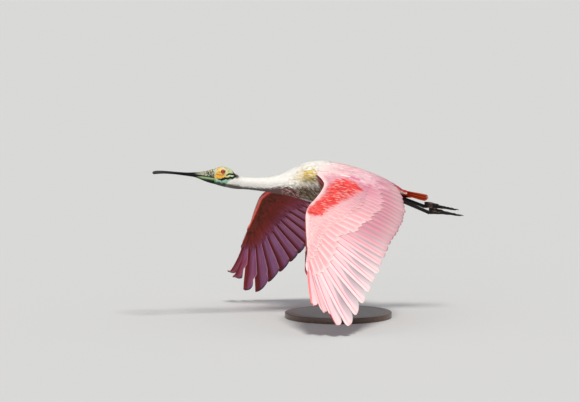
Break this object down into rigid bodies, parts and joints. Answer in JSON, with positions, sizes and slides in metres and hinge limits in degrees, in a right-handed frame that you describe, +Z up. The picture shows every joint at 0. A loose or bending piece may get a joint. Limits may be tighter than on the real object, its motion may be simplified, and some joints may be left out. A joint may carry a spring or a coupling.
{
  "type": "roseate spoonbill model",
  "caption": "Life-size roseate spoonbill in level flight, wings on the downstroke, feet trailing, held by a rod on a flat round display base.",
  "frame": {"origin": "centre of the underside of the display base, on the floor", "axes": "+Z up; the bill points along -X, the tail and feet along +X, and the bird's right side is +Y"},
  "size_m": [0.9082, 0.8266, 0.4454],
  "materials": {
    "plumage_pink": "soft matt feathers, pale pink with carmine on the small coverts",
    "plumage_white": "soft matt feathers, white to cream",
    "plumage_tail": "soft matt feathers, orange to rufous",
    "head_skin": "bare skin, pale green and yellow-orange with black bands",
    "bill_horn": "horn, near black, mottled grey-green towards the base",
    "eye": "wet gloss, red with a black pupil",
    "leg_skin": "scaly skin, black-brown with a dull pink tone",
    "claw": "horn, black",
    "stand_wood": "dark stained wood, satin",
    "stand_steel": "brushed"
  },
  "bodies": {
    "root": {"torso": "plumage_white", "neck": "plumage_white", "head": "head_skin", "bill_upper": "bill_horn", "bill_lower": "bill_horn", "eye_left": "eye", "eye_right": "eye", "tail": "plumage_tail", "wing_left_arm": "plumage_pink", "wing_left_hand": "plumage_pink", "wing_right_arm": "plumage_pink", "wing_right_hand": "plumage_pink", "thigh_left": "plumage_pink", "thigh_right": "plumage_pink", "tarsus_left": "leg_skin", "tarsus_right": "leg_skin", "foot_left": "leg_skin", "foot_right": "leg_skin", "claw_left_inner": "claw", "claw_left_middle": "claw", "claw_left_outer": "claw", "claw_left_hind": "claw", "claw_right_inner": "claw", "claw_right_middle": "claw", "claw_right_outer": "claw", "claw_right_hind": "claw", "stand_base": "stand_wood", "stand_rod": "stand_steel"}
  },
  "joints": []
}
